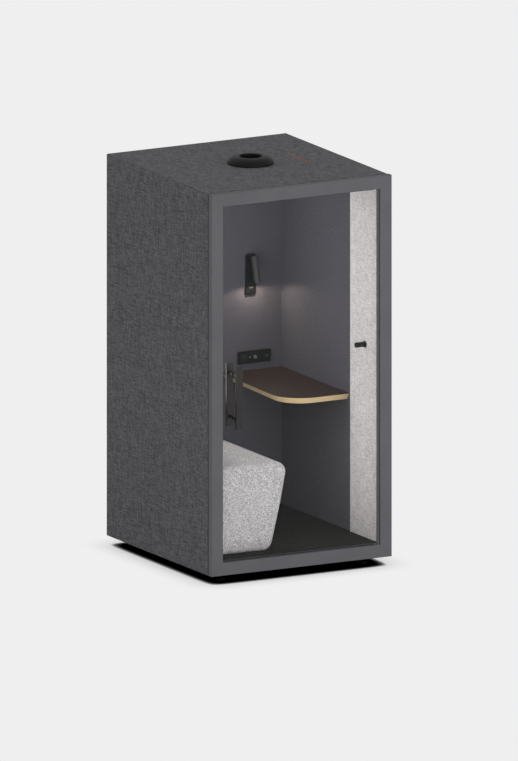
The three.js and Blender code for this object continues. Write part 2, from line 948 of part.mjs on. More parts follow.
function ventilation() {
  return group(
    piece('vent_cowl', cowl(), blackPlastic),
    piece('duct_sleeve', tube(ductRadius, ductBore, ceilingZ, roofZ), blackPlastic),
    piece('fan_frame', fanFrame(), blackPlastic),
    piece('fan_rotor', fanRotor(), blackPlastic),
    piece('ceiling_grille', grille(), blackPlastic),
    piece('slot_liner', slotLiner(), plywood),
  );
}

// Bench: one upholstered block against the left wall. Its right side leans in towards the foot.

const benchLeft = -innerX + fitGap;
const benchLow = carpetZ + fitGap;
const benchHigh = carpetZ + benchHeight - benchCrown;
const benchFrontY = frontY + benchFrontSetback;

// The arc that rounds a corner between its two neighbours, for corners in anticlockwise order
function roundedCorner(before, corner, after, radius) {
  const [start, middle, end] = [before, corner, after].map(([a, b]) => new THREE.Vector2(a, b));
  const back = start.sub(middle).normalize();
  const on = end.sub(middle).normalize();
  const half = Math.acos(back.dot(on)) / 2;
  const centre = back.clone().add(on).setLength(radius / Math.sin(half)).add(middle);
  const touch = back.clone().multiplyScalar(radius / Math.tan(half)).add(middle);
  const points = [];
  for (let i = 0; i <= benchRoundSteps; i += 1) {
    const turn = ((Math.PI - 2 * half) * i) / benchRoundSteps;
    points.push(touch.clone().rotateAround(centre, turn).toArray());
  }
  return points;
}

// Points between two ends, swelled out to the right of the way from one to the other
function swelled([a0, b0], [a1, b1], swell) {
  const out = new THREE.Vector2(b1 - b0, a0 - a1).normalize();
  const points = [];
  for (let i = 1; i < benchFlatSteps; i += 1) {
    const share = i / benchFlatSteps;
    const rise = swell * 4 * share * (1 - share);
    points.push([a0 + (a1 - a0) * share + out.x * rise, b0 + (b1 - b0) * share + out.y * rise]);
  }
  return points;
}

// The section across the bench, drawn in by an inset, less so along the floor
function benchSection(inset) {
  const [low, high] = [benchLow + inset * benchFootShare, benchHigh - inset];
  const right = benchLeft + benchWidth - inset;
  const wallFoot = [benchLeft, low];
  const foot = [right - benchLean, low];
  const shoulder = [right, high];
  const wallTop = [benchLeft, high];
  const footArc = roundedCorner(wallFoot, foot, shoulder, benchFootRadius - inset);
  const shoulderArc = roundedCorner(foot, shoulder, wallTop, benchTopRadius - inset);
  return [
    wallFoot,
    ...footArc,
    ...swelled(footArc.at(-1), shoulderArc[0], benchSwell),
    ...shoulderArc,
    ...swelled(shoulderArc.at(-1), wallTop, benchCrown),
    wallTop,
  ];
}

function benchBody() {
  const level = (section, y) => section.map(([x, z]) => [x, y, z]);
  const faceY = benchFrontY + benchSwell;
  const rings = [level(benchSection(0), innerRearY - fitGap)];
  for (const [inward, back] of arc(0, 0, benchFrontRadius, 0, 90, benchRoundSteps)) {
    rings.push(level(benchSection(benchFrontRadius - inward), faceY + benchFrontRadius - back));
  }
  const face = benchSection(benchFrontRadius);
  const middle = [benchLeft + benchWidth / 2, (benchLow + benchHigh) / 2];
  for (let i = benchFaceRings - 1; i > 0; i -= 1) {
    const share = i / benchFaceRings;
    const ring = face.map(([x, z]) => [
      middle[0] + (x - middle[0]) * share,
      middle[1] + (z - middle[1]) * share,
    ]);
    rings.push(level(ring, faceY - benchSwell * (1 - share ** 2)));
  }
  return loft(rings);
}

// Desk: a board along the right wall, its free edges cut under, with a thin dark sheet on top

// Outline of the desk, drawn in along its free edges by an inset
function deskOutline(inset) {
  const [right, left] = [innerX - fitGap, innerX - deskWidth + inset];
  const [front, rear] = [deskFrontY + inset, innerRearY - fitGap];
  const radius = deskCornerRadius - inset;
  return [
    [right, rear],
    [left + deskTaper, rear],
    ...arc(left + radius, front + radius, radius, 180, 270, wideArcSteps),
    [right, front],
  ];
}

function desk() {
  const boardTop = deskTopZ - laminateThickness - fitGap;
  const low = deskTopZ - deskThickness;
  const level = (outline, z) => outline.map(([x, y]) => [x, y, z]);
  const board = loft([level(deskOutline(deskUndercut), low), level(deskOutline(0), boardTop)]);
  const sheet = loft([level(deskOutline(0), boardTop + fitGap), level(deskOutline(0), deskTopZ)]);
  const cleatTop = low - fitGap;
  const sideCleat = block(
    [innerX - fitGap - cleatDepth, deskFrontY + cleatFrontSetback, cleatTop - cleatHeight],
    [innerX - fitGap, innerRearY - cleatEndSetback, cleatTop],
  );
  const rearCleat = block(
    [
      innerX - deskWidth + deskTaper + deskUndercut + cleatEndSetback,
      innerRearY - fitGap - cleatDepth,
      cleatTop - cleatHeight,
    ],
    [innerX - cleatEndSetback, innerRearY - fitGap, cleatTop],
  );
  return group(
    piece('desk_board', board, plywood),
    piece('desk_laminate', sheet, laminate),
    piece('desk_cleat_side', sideCleat, plywood),
    piece('desk_cleat_rear', rearCleat, plywood),
  );
}

// Wall lamp: a backplate with two ears, and a cylindrical head that tilts on a pin between them

const lampX = innerX - lampFromRight;
const lampPlateRearY = innerRearY - fitGap;
const lampPlateFrontY = lampPlateRearY - lampPlateThickness;
const lampPivotY = lampPlateFrontY - lampPivotReach;
const lampPivotZ = lampCentreHeight + lampPlateHeight / 2 - lampPivotDrop;
const switchZ = lampCentreHeight - lampPlateHeight / 2 + switchRise;
const lampEarSpan = lampLugWidth / 2 + runningGap;
const lampHeadOffset = lampHeadRadius + lampEarRadius + runningGap;

// A tab with a round end at (y, z) of 0, 0 that reaches along +y or -y
function tab(radius, reach) {
  return polygon([
    ...arc(0, 0, radius, reach > 0 ? 90 : -90, reach > 0 ? 270 : 90, wideArcSteps),
    [reach, reach > 0 ? -radius : radius],
    [reach, reach > 0 ? radius : -radius],
  ]);
}

function lampBackplate() {
  const outline = roundedRectangle(lampPlateWidth, lampPlateHeight, lampPlateCorner);
  const plate = extrudedBack(outline, lampPlateFrontY, lampPlateRearY, lampPlateEdge)
    .translate(lampX, 0, lampCentreHeight);
  const reach = lampPivotReach + lampPlateThickness / 2;
  const ears = [-1, 1].map((side) => {
    const [near, far] = [side * lampEarSpan, side * (lampEarSpan + lampEarThickness)];
    return extrudedAcross(tab(lampEarRadius, reach), Math.min(near, far), Math.max(near, far))
      .translate(lampX, lampPivotY, lampPivotZ);
  });
  const reachX = lampEarSpan + lampEarThickness + cutOver;
  const boreRadius = lampPinRadius + fitGap;
  const bore = cylinderAcross(boreRadius, lampX - reachX, lampX + reachX, lampPivotY, lampPivotZ);
  const pocketX = switchWidth / 2 + switchSideGap;
  const pocketZ = switchHeight / 2 + switchSideGap;
  const pocketEndY = lampPlateFrontY + switchDepth + switchTravel + runningGap;
  const pocket = block(
    [lampX - pocketX, lampPlateFrontY - cutOver, switchZ - pocketZ],
    [lampX + pocketX, pocketEndY, switchZ + pocketZ],
  );
  return cut(join(plate, ...ears), bore, pocket);
}

// The head is drawn upright about the pivot at 0, 0, 0
function lampHead() {
  const high = lampHeadAbovePivot;
  const low = high - lampHeadLength;
  const recess = lampHeadRadius - lampRimWall;
  const body = turned([
    [0, low + lampRecessDepth],
    [recess, low + lampRecessDepth],
    [recess, low],
    [lampHeadRadius, low],
    ...arc(lampHeadRadius - lampHeadEdge, high - lampHeadEdge, lampHeadEdge, 0, 90),
    [0, high],
  ]).translate(0, -lampHeadOffset, 0);
  const lug = extrudedAcross(tab(lampLugRadius, -lampHeadOffset), -lampLugWidth / 2, lampLugWidth / 2);
  const bore = cylinderAcross(lampPinRadius + fitGap, -lampLugWidth, lampLugWidth, 0, 0);
  return cut(join(body, lug), bore);
}

function lampLens() {
  const low = lampHeadAbovePivot - lampHeadLength + lampLensSetback;
  return cylinder(lampHeadRadius - lampRimWall - fitGap, low, low + lampLensThickness, roundSides)
    .translate(0, -lampHeadOffset, 0);
}

function lampSwitch() {
  const outline = roundedRectangle(switchWidth, switchHeight, switchCorner);
  return extrudedBack(outline, lampPlateFrontY - switchProud, lampPlateFrontY + switchDepth, switchEdge)
    .translate(lampX, 0, switchZ);
}

function wallLamp() {
  const head = group(
    piece('lamp_head', lampHead(), blackPaint),
    piece('lamp_lens', lampLens(), lampLensGlow),
  );
  head.position.set(lampX, lampPivotY, lampPivotZ);
  head.rotation.x = -lampHeadTilt * degrees;
  const pinEnd = lampEarSpan + lampEarThickness;
  const pin = cylinderAcross(lampPinRadius, lampX - pinEnd, lampX + pinEnd, lampPivotY, lampPivotZ);
  return group(
    piece('lamp_backplate', lampBackplate(), blackPaint),
    piece('lamp_pivot_pin', pin, steel),
    piece('lamp_switch', lampSwitch(), steel),
    head,
  );
}

// Power module: a housing on the rear wall with a socket, a dimmer, a USB port and an indicator

const powerX = innerX - powerFromRight;
const powerCentreHeight = deskTopZ + powerAboveDesk + powerHeight / 2;
const powerRearY = innerRearY - fitGap;
const powerFrontY = powerRearY - powerThickness;
const pocketEndY = powerRearY - powerBackWall;
const insertRearY = pocketEndY - fitGap;
const insertHoleEndY = insertRearY - insertBackWall;
const socketX = powerX - powerWidth / 2 + socketEndDistance;
const usbX = powerX + powerWidth / 2 - usbEndDistance;
const usbHalfWidth = usbMouthWidth / 2 + usbShellWall;
const usbHalfHeight = usbMouthHeight / 2 + usbShellWall;
const indicatorX = (socketX + socketRadius + powerX - knobRadius) / 2;

function powerHousing() {
  const outline = roundedRectangle(powerWidth, powerHeight, powerCorner);
  const body = extrudedBack(outline, powerFrontY, powerRearY, powerEdge)
    .translate(powerX, 0, powerCentreHeight);
  const mouthY = powerFrontY - cutOver;
  const [usbA, usbB] = [usbHalfWidth + fitGap, usbHalfHeight + fitGap];
  const round = (radius, x) => (
    cylinderBack(radius + fitGap, x, mouthY, pocketEndY, powerCentreHeight, roundSides)
  );
  return cut(
    body,
    round(socketRadius, socketX),
    round(knobShaftRadius, powerX),
    round(indicatorRadius, indicatorX),
    block(
      [usbX - usbA, mouthY, powerCentreHeight - usbB],
      [usbX + usbA, pocketEndY, powerCentreHeight + usbB],
    ),
  );
}

function socketInsert() {
  const disc = cylinderBack(socketRadius, 0, powerFrontY, insertRearY, 0, roundSides);
  const slots = socketSlotTurns.map((turn) => {
    const slot = block(
      [-socketSlotWidth / 2, powerFrontY - cutOver, socketSlotSpread],
      [socketSlotWidth / 2, insertHoleEndY, socketSlotSpread + socketSlotLength],
    );
    return slot.rotateY(turn * degrees);
  });
  return cut(disc, ...slots).translate(socketX, 0, powerCentreHeight);
}

function usbPort() {
  const body = block(
    [usbX - usbHalfWidth, powerFrontY, powerCentreHeight - usbHalfHeight],
    [usbX + usbHalfWidth, insertRearY, powerCentreHeight + usbHalfHeight],
  );
  const mouth = block(
    [usbX - usbMouthWidth / 2, powerFrontY - cutOver, powerCentreHeight - usbMouthHeight / 2],
    [usbX + usbMouthWidth / 2, insertHoleEndY, powerCentreHeight + usbMouthHeight / 2],
  );
  return cut(body, mouth);
}

// The knob is turned about +Z and laid over, so that its face looks out of the wall
function dimmerKnob() {
  const shaft = insertRearY - powerFrontY + runningGap;
  const body = turned([
    [0, -shaft],
    [knobShaftRadius, -shaft],
    [knobShaftRadius, 0],
    [knobRadius, 0],
    [knobRadius - knobTaper, knobLength - knobEdge],
    [knobRadius - knobTaper - knobEdge, knobLength],
    [0, knobLength],
  ]);
  const notch = block(
    [-knobNotch / 2, knobRadius / 3, knobLength - knobNotch],
    [knobNotch / 2, knobRadius + cutOver, knobLength + cutOver],
  );
  return cut(body, notch)
    .rotateX(Math.PI / 2)
    .translate(powerX, powerFrontY - runningGap, powerCentreHeight);
}

function powerModule() {
  const indicator = cylinderBack(
    indicatorRadius,
    indicatorX,
    powerFrontY - indicatorProud,
    insertRearY,
    powerCentreHeight,
  );
  return group(
    piece('power_housing', powerHousing(), blackPlastic),
    piece('power_socket', socketInsert(), blackPlastic),
    piece('usb_port', usbPort(), steel),
    piece('dimmer_knob', dimmerKnob(), steel),
    piece('power_indicator', indicator, indicatorGreen),
  );
}

// Coat peg on the pale panel

function coatPeg() {
  const peg = turned([
    [0, 0],
    [pegFlangeRadius, 0],
    [pegFlangeRadius, pegFlangeThickness - pegFlangeEdge],
    [pegFlangeRadius - pegFlangeEdge, pegFlangeThickness],
    [pegRadius, pegFlangeThickness],
    ...arc(pegRadius - pegEdge, pegLength - pegEdge, pegEdge, 0, 90),
    [0, pegLength],
  ]);
  return peg.rotateY(-Math.PI / 2).translate(coatPanelX - fitGap, frontY + pegFrontSetback, pegHeight);
}

// The whole pod, moved back by half of what the handle stands proud of the frame

const pod = group(
  skins(),
  cores(),
  linings(),
  floor(),
  frontFrame(),
  door(),
  ventilation(),
  piece('bench_upholstery', benchBody(), paleFelt),
  desk(),
  wallLamp(),
  powerModule(),
  piece('coat_peg', coatPeg(), blackPaint),
);
pod.position.y = handleReach / 2;

export default pod;
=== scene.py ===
"""Acoustic office pod: cloth, materials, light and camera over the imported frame. Metres, +Z up."""
import json
import math

import bpy
from mathutils import Matrix, Vector
from mathutils.bvhtree import BVHTree

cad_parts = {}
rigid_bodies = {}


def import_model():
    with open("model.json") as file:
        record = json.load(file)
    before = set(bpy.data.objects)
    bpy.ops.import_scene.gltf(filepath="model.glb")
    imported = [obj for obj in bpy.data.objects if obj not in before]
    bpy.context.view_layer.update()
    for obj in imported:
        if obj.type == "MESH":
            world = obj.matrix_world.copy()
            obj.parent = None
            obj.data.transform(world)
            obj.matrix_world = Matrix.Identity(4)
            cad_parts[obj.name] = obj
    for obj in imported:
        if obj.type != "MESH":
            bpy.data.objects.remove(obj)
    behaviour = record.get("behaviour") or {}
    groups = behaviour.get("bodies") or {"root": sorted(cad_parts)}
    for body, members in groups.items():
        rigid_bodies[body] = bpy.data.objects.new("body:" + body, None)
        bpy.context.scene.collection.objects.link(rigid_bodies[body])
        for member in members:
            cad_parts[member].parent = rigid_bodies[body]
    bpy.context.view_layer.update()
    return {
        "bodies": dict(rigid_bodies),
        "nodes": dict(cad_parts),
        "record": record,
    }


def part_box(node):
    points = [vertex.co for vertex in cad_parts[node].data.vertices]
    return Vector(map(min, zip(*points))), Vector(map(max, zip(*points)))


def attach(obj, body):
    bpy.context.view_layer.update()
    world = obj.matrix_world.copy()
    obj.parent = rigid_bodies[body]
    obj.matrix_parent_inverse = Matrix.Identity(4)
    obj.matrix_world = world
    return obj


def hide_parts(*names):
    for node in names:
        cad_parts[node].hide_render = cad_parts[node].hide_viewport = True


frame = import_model()
nodes = frame["nodes"]
scene = bpy.context.scene
scene.view_settings.view_transform = "Standard"

# Camera: the photograph is a parallel view, and 186 of its pixels are one metre everywhere

PIXELS_PER_METRE = 186.0
PICTURE_HEIGHT = 761
CAMERA_RIGHT = Vector((0.8808, -0.4735, 0.0))
CAMERA_UP = Vector((0.10164, 0.18907, 0.97669))
CAMERA_DISTANCE = 9.0
CAMERA_REACH = 60.0
CABIN_MIDDLE = Vector((0.0, 0.022, 0.0))
PICTURE_MIDDLE = (0.0541, 0.9365)


def make_camera():
    """PICTURE_MIDDLE is how far the picture's middle lies right of and above the cabin's, in the picture."""
    right = CAMERA_RIGHT.normalized()
    up = (CAMERA_UP - CAMERA_UP.dot(right) * right).normalized()
    backward = right.cross(up)
    middle = CABIN_MIDDLE + right * PICTURE_MIDDLE[0] + up * PICTURE_MIDDLE[1]
    data = bpy.data.cameras.new("camera")
    data.type = "ORTHO"
    data.sensor_fit = "VERTICAL"
    data.ortho_scale = PICTURE_HEIGHT / PIXELS_PER_METRE
    data.clip_end = CAMERA_REACH
    camera = bpy.data.objects.new("camera", data)
    turn = Matrix((right, up, backward)).transposed().to_4x4()
    camera.matrix_world = Matrix.Translation(middle + backward * CAMERA_DISTANCE) @ turn
    scene.collection.objects.link(camera)
    scene.camera = camera


# Material helpers

# The Mix node has sockets of the same name for numbers, vectors and colours: these are the colour ones
MIX_COLOUR_A = 6
MIX_COLOUR_B = 7
MIX_COLOUR_RESULT = 2


class Sheet:
    """The nodes of one material, with short calls to add and join them. Scales count features per metre."""

    def __init__(self, name):
        self.material = bpy.data.materials.new(name)
        self.material.use_nodes = True
        self.tree = self.material.node_tree
        self.tree.nodes.clear()
        self.output = self.add("ShaderNodeOutputMaterial")
        self.coordinates = self.add("ShaderNodeTexCoord").outputs["Object"]

    def add(self, kind, **settings):
        node = self.tree.nodes.new(kind)
        for key, value in settings.items():
            setattr(node, key, value)
        return node

    def join(self, source, socket):
        self.tree.links.new(source, socket)

    def put(self, socket, value):
        """Join a socket to another socket, or give it a plain value."""
        if isinstance(value, bpy.types.NodeSocket):
            self.join(value, socket)
        else:
            socket.default_value = value

    def stretched(self, x, y, z):
        """Coordinates for a texture that is drawn out along the axes with small factors."""
        node = self.add("ShaderNodeMapping")
        self.join(self.coordinates, node.inputs["Vector"])
        node.inputs["Scale"].default_value = (x, y, z)
        return node.outputs["Vector"]

    def noise(self, scale, detail=4.0, roughness=0.6, where=None, distortion=0.0):
        node = self.add("ShaderNodeTexNoise")
        self.join(where or self.coordinates, node.inputs["Vector"])
        node.inputs["Scale"].default_value = scale
        node.inputs["Detail"].default_value = detail
        node.inputs["Roughness"].default_value = roughness
        node.inputs["Distortion"].default_value = distortion
        return node.outputs["Fac"]

    def cells(self, scale):
        node = self.add("ShaderNodeTexVoronoi")
        self.join(self.coordinates, node.inputs["Vector"])
        node.inputs["Scale"].default_value = scale
        return node

    def wave(self, scale, direction, distortion=0.0):
        node = self.add("ShaderNodeTexWave", bands_direction=direction)
        self.join(self.coordinates, node.inputs["Vector"])
        node.inputs["Scale"].default_value = scale
        node.inputs["Distortion"].default_value = distortion
        node.inputs["Detail"].default_value = 2.0
        return node.outputs["Fac"]

    def ramp(self, fac, *stops):
        node = self.add("ShaderNodeValToRGB")
        self.join(fac, node.inputs["Fac"])
        ramp = node.color_ramp
        while len(ramp.elements) < len(stops):
            ramp.elements.new(1.0)
        for element, (place, colour) in zip(ramp.elements, stops):
            element.position = place
            element.color = rgba(colour)
        return node.outputs["Color"]

    def mix(self, fac, a, b, blend="MIX"):
        node = self.add("ShaderNodeMix", data_type="RGBA", blend_type=blend)
        self.put(node.inputs["Factor"], fac)
        self.put(node.inputs[MIX_COLOUR_A], rgba(a))
        self.put(node.inputs[MIX_COLOUR_B], rgba(b))
        return node.outputs[MIX_COLOUR_RESULT]

    def maths(self, operation, a, b=0.0):
        node = self.add("ShaderNodeMath", operation=operation)
        self.put(node.inputs[0], a)
        self.put(node.inputs[1], b)
        return node.outputs["Value"]

    def bump(self, height, strength, distance):
        node = self.add("ShaderNodeBump")
        self.join(height, node.inputs["Height"])
        node.inputs["Strength"].default_value = strength
        node.inputs["Distance"].default_value = distance
        return node.outputs["Normal"]

    def surface(self, colour, roughness, normal=None, **sockets):
        """The finished material; other sockets go by name, with _ for each space."""
        shader = self.add("ShaderNodeBsdfPrincipled")
        self.put(shader.inputs["Base Color"], rgba(colour))
        self.put(shader.inputs["Roughness"], roughness)
        if normal is not None:
            self.join(normal, shader.inputs["Normal"])
        for key, value in sockets.items():
            self.put(shader.inputs[key.replace("_", " ")], value)
        self.join(shader.outputs["BSDF"], self.output.inputs["Surface"])
        return self.material


def rgba(value):
    """A colour with its alpha, from a grey level or three levels; a socket stays as it is."""
    if isinstance(value, bpy.types.NodeSocket):
        return value
    if isinstance(value, (int, float)):
        return (value, value, value, 1.0)
    return (*value[:3], 1.0)


def linear(*levels):
    """A colour from levels of 0 to 255 as they show on a screen."""
    def one(level):
        share = level / 255.0
        return share / 12.92 if share <= 0.04045 else ((share + 0.055) / 1.055) ** 2.4
    return tuple(one(level) for level in (levels if len(levels) == 3 else levels * 3))


# Materials

# Shares of three streak textures and one nip texture, one in all
STREAK_SHARE = 0.26
NIP_SHARE = 0.22
BRUSHED_ALONG_X = (0.6, 8.0, 8.0)
BRUSHED_ALONG_Z = (8.0, 8.0, 0.5)
PLY_THICKNESS = 0.036
PLY_COUNT = 13
PLY_WANDER = 0.0008
GLASS_EDGE = 0.002
GLASS_EDGE_ALPHA = 0.18


def scaled(colour, factor):
    return tuple(factor * level for level in colour)


def crossed_fibres(sheet, scale, nip_scale, along, over):
    """Streaks along each of the three axes, so that every face shows two that cross, broken by nips."""
    stretches = [(along, over, over), (over, along, over), (over, over, along)]
    streaks = [
        sheet.noise(scale, detail=3.0, roughness=0.7, where=sheet.stretched(*stretch), distortion=0.1)
        for stretch in stretches
    ]
    nips = sheet.noise(nip_scale, detail=2.0, roughness=0.6)
    lying = sheet.maths("ADD", sheet.maths("ADD", streaks[0], streaks[1]), streaks[2])
    lying = sheet.maths("MULTIPLY", lying, STREAK_SHARE)
    return sheet.maths("ADD", lying, sheet.maths("MULTIPLY", nips, NIP_SHARE))


def felt(name, dark, middle, light, relief, clouding):
    """Pressed felt: crossed fibres of three shades, and soft clouds."""
    sheet = Sheet(name)
    fibres = crossed_fibres(sheet, scale=92.0, nip_scale=240.0, along=0.22, over=2.4)
    clouds = sheet.noise(14.0, detail=4.0, roughness=0.65)
    ground = sheet.ramp(fibres, (0.43, dark), (0.5, middle), (0.57, light))
    shade = sheet.ramp(clouds, (0.3, 1.0 - clouding), (0.7, 1.0 + clouding))
    colour = sheet.mix(1.0, ground, shade, "MULTIPLY")
    normal = sheet.bump(fibres, strength=relief, distance=0.002)
    return sheet.surface(
        colour, 0.95, normal, Sheen_Weight=0.05, Sheen_Roughness=0.6, Specular_IOR_Level=0.1,
    )


def bench_wool():
    """Speckled wool: fine nubs of pale, grey and darker yarn over a plain weave."""
    sheet = Sheet("bench_wool")
    dark, middle, light = linear(138, 136, 137), linear(212, 209, 210), linear(255, 252, 253)
    dark_fleck = linear(128, 126, 125)
    pale_ridge = linear(232, 228, 226)
    weave = sheet.wave(300.0, "DIAGONAL", distortion=1.6)
    nubs = crossed_fibres(sheet, scale=125.0, nip_scale=280.0, along=0.42, over=2.1)
    grain = sheet.add("ShaderNodeRGBToBW")
    sheet.join(sheet.cells(290.0).outputs["Color"], grain.inputs["Color"])
    soft = sheet.noise(7.0, detail=2.0, roughness=0.5)
    ground = sheet.ramp(nubs, (0.44, dark), (0.5, middle), (0.56, light))
    flecks = sheet.ramp(grain.outputs["Val"], (0.24, 0.6), (0.4, 0.0))
    ground = sheet.mix(flecks, ground, dark_fleck)
    ridges = sheet.ramp(weave, (0.7, 0.0), (1.0, 0.25))
    ground = sheet.mix(ridges, ground, pale_ridge)
    shade = sheet.ramp(soft, (0.3, 0.95), (0.7, 1.04))
    colour = sheet.mix(1.0, ground, shade, "MULTIPLY")
    height = sheet.maths("ADD", weave, sheet.maths("MULTIPLY", nubs, 1.4))
    normal = sheet.bump(height, strength=0.35, distance=0.0012)
    return sheet.surface(
        colour, 0.92, normal, Sheen_Weight=0.1, Sheen_Roughness=0.5, Specular_IOR_Level=0.15,
    )


def carpet_pile():
    """Low loop pile, near black, with scattered olive and pale loops."""
    sheet = Sheet("carpet_pile")
    olive_loop = linear(66, 62, 44)
    pale_loop = linear(118, 114, 100)
    loops = sheet.cells(300.0)
    pick = sheet.add("ShaderNodeSeparateColor")
    sheet.join(loops.outputs["Color"], pick.inputs["Color"])
    tone = sheet.noise(60.0, detail=4.0, roughness=0.7)
    ground = sheet.ramp(tone, (0.3, linear(31, 31, 30)), (0.7, linear(40, 39, 37)))
    olive = sheet.ramp(pick.outputs["Green"], (0.82, 0.0), (0.92, 0.35))
    ground = sheet.mix(olive, ground, olive_loop)
    pale = sheet.ramp(pick.outputs["Red"], (0.95, 0.0), (0.98, 0.5))
    colour = sheet.mix(pale, ground, pale_loop)
    height = sheet.maths("SUBTRACT", 1.0, loops.outputs["Distance"])
    normal = sheet.bump(height, strength=0.25, distance=0.002)
    return sheet.surface(colour, 1.0, normal, Specular_IOR_Level=0.1)


def powder_coat(name, colour, roughness):
    """Paint baked from powder: fine orange peel and slight changes of gloss."""
    sheet = Sheet(name)
    peel = sheet.noise(900.0, detail=2.0, roughness=0.5)
    drift = sheet.noise(6.0, detail=3.0, roughness=0.55)
    tint = sheet.ramp(drift, (0.3, scaled(colour, 0.94)), (0.7, scaled(colour, 1.05)))
    patches = sheet.noise(30.0, detail=3.0)
    gloss = sheet.ramp(patches, (0.3, roughness - 0.05), (0.7, roughness + 0.06))
    normal = sheet.bump(peel, strength=0.12, distance=0.0006)
    return sheet.surface(tint, gloss, normal, Specular_IOR_Level=0.2)


def moulded_plastic(name, colour, roughness):
    """Matt moulded plastic with a fine spark-eroded grain."""
    sheet = Sheet(name)
    grain = sheet.cells(1400.0).outputs["Distance"]
    drift = sheet.noise(25.0, detail=3.0)
    tint = sheet.ramp(drift, (0.3, scaled(colour, 0.88)), (0.7, scaled(colour, 1.12)))
    gloss = sheet.ramp(drift, (0.3, roughness - 0.05), (0.7, roughness + 0.05))
    normal = sheet.bump(grain, strength=0.2, distance=0.0004)
    return sheet.surface(tint, gloss, normal, Specular_IOR_Level=0.2)


def brushed(name, colour, roughness, direction, metallic=1.0):
    """Metal brushed along one direction, given as a stretch of the noise."""
    sheet = Sheet(name)
    lines = sheet.noise(260.0, detail=4.0, roughness=0.7, where=sheet.stretched(*direction))
    drift = sheet.noise(18.0, detail=3.0)
    tint = sheet.ramp(lines, (0.3, scaled(colour, 0.85)), (0.7, scaled(colour, 1.15)))
    gloss = sheet.ramp(drift, (0.3, roughness - 0.06), (0.7, roughness + 0.08))
    normal = sheet.bump(lines, strength=0.12, distance=0.0004)
    return sheet.surface(tint, gloss, normal, Metallic=metallic)


def plywood(name, pale_tones, cross_tones):
    """Plywood: thin veneers in turn along and across the grain, seen on every cut edge."""
    sheet = Sheet(name)
    wander = sheet.noise(14.0, detail=3.0, roughness=0.6)
    axes = sheet.add("ShaderNodeSeparateXYZ")
    sheet.join(sheet.coordinates, axes.inputs["Vector"])
    height = sheet.maths("ADD", axes.outputs["Z"], sheet.maths("MULTIPLY", wander, PLY_WANDER))
    turn = sheet.maths("MULTIPLY", height, math.pi * PLY_COUNT / PLY_THICKNESS)
    band = sheet.maths("SINE", turn)
    pores = sheet.noise(160.0, detail=4.0, roughness=0.7, where=sheet.stretched(1.0, 1.0, 5.0))
    lengthways = sheet.stretched(6.0, 0.6, 6.0)
    grain = sheet.noise(70.0, detail=4.0, roughness=0.65, where=lengthways, distortion=0.6)
    pale = sheet.ramp(grain, (0.3, pale_tones[0]), (0.7, pale_tones[1]))
    cross = sheet.ramp(pores, (0.35, cross_tones[0]), (0.65, cross_tones[1]))
    colour = sheet.mix(sheet.ramp(band, (0.1, 0.0), (0.5, 0.85)), pale, cross)
    normal = sheet.bump(sheet.maths("ADD", band, pores), strength=0.15, distance=0.0006)
    return sheet.surface(colour, 0.5, normal)


def dark_laminate():
    """Dark brown sheet with a soft grain along the desk."""
    sheet = Sheet("dark_laminate")
    wide = sheet.stretched(5.0, 0.7, 5.0)
    grain = sheet.noise(40.0, detail=5.0, roughness=0.65, where=wide, distortion=0.8)
    streaks = sheet.noise(190.0, detail=3.0, roughness=0.7, where=sheet.stretched(4.0, 0.35, 4.0))
    ground = sheet.ramp(grain, (0.3, linear(46, 34, 29)), (0.7, linear(74, 56, 48)))
    colour = sheet.mix(sheet.ramp(streaks, (0.5, 0.0), (0.75, 0.5)), ground, linear(42, 35, 32))
    gloss = sheet.ramp(grain, (0.3, 0.36), (0.7, 0.48))
    normal = sheet.bump(streaks, strength=0.1, distance=0.0004)
    return sheet.surface(colour, gloss, normal, Specular_IOR_Level=0.25)


def acoustic_board():
    """Raw dyed fibre board, seen from below and in the gap behind the frame."""
    sheet = Sheet("acoustic_board")
    fibres = sheet.noise(120.0, detail=5.0, roughness=0.7)
    colour = sheet.ramp(fibres, (0.3, linear(24)), (0.7, linear(44)))
    normal = sheet.bump(fibres, strength=0.3, distance=0.001)
    return sheet.surface(colour, 0.95, normal, Specular_IOR_Level=0.2)


def soft_rubber():
    """Matt black rubber with a fine grain."""
    sheet = Sheet("gasket_rubber")
    grain = sheet.noise(300.0, detail=3.0)
    colour = sheet.ramp(grain, (0.3, linear(16)), (0.7, linear(28)))
    normal = sheet.bump(grain, strength=0.15, distance=0.0004)
    return sheet.surface(colour, 0.75, normal)


def clear_glass():
    """Clear safety glass: see-through face on, paler at a slant, darker along its polished edges."""
    sheet = Sheet("clear_glass")
    low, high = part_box("door_glass")
    axes = sheet.add("ShaderNodeSeparateXYZ")
    sheet.join(sheet.coordinates, axes.inputs["Vector"])
    from_left = sheet.maths("SUBTRACT", axes.outputs["X"], low[0])
    from_right = sheet.maths("SUBTRACT", high[0], axes.outputs["X"])
    from_foot = sheet.maths("SUBTRACT", axes.outputs["Z"], low[2])
    from_head = sheet.maths("SUBTRACT", high[2], axes.outputs["Z"])
    across = sheet.maths("MINIMUM", from_left, from_right)
    upright = sheet.maths("MINIMUM", from_foot, from_head)
    border = sheet.maths("LESS_THAN", sheet.maths("MINIMUM", across, upright), GLASS_EDGE)
    slant = sheet.add("ShaderNodeLayerWeight")
    slanted = sheet.ramp(slant.outputs["Facing"], (0.35, 0.02), (0.95, 0.25))
    alpha = sheet.mix(border, slanted, GLASS_EDGE_ALPHA)
    smears = sheet.noise(4.0, detail=3.0, roughness=0.5)
    gloss = sheet.ramp(smears, (0.3, 0.02), (0.7, 0.05))
    face_tint, edge_tint = (0.3, 0.33, 0.33), (0.1, 0.16, 0.145)
    tint = sheet.mix(border, face_tint, edge_tint)
    return sheet.surface(tint, gloss, Alpha=alpha, Specular_IOR_Level=0.5)


